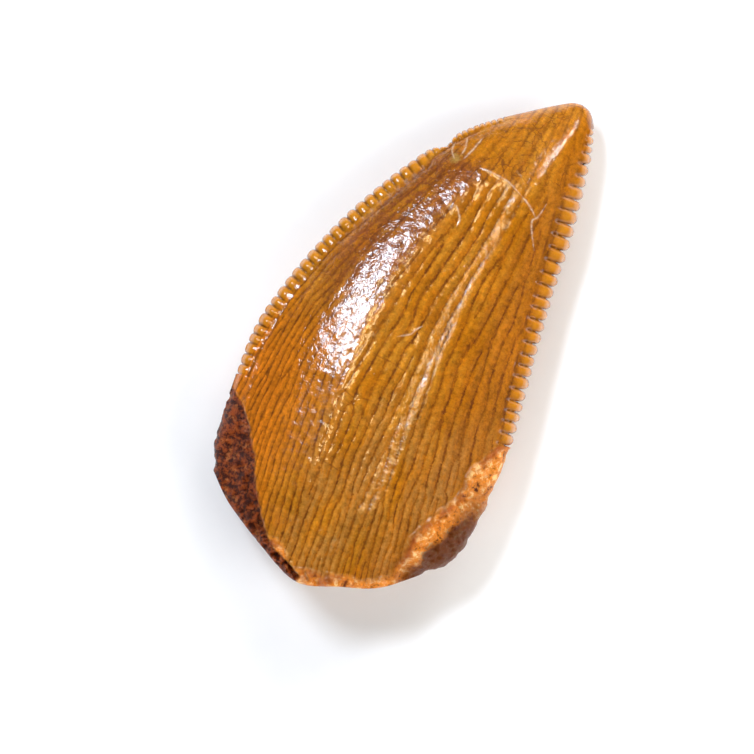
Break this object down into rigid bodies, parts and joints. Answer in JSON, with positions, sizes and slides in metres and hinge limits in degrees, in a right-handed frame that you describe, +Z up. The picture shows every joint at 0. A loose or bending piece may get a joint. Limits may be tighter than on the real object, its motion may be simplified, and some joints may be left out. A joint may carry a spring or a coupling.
{
  "type": "fossil raptor tooth",
  "caption": "Fossil tooth of a meat-eating dinosaur: a flattened, curved, pointed crown with serrated edges and a broken base, lying on its side.",
  "frame": {"origin": "under the middle of the tooth's box, on the surface that it rests on", "axes": "+Y along the crown towards its tip, +X towards the distal (rear) serrated edge, +Z up out of the outer face; the tooth lies on its inner face"},
  "size_m": [0.0111, 0.0212, 0.0044],
  "materials": {
    "fossil_enamel": "glossy honey-brown enamel with darker growth lines and rough red-brown dentine at the base"
  },
  "bodies": {
    "root": {"tooth": "fossil_enamel"}
  },
  "joints": []
}
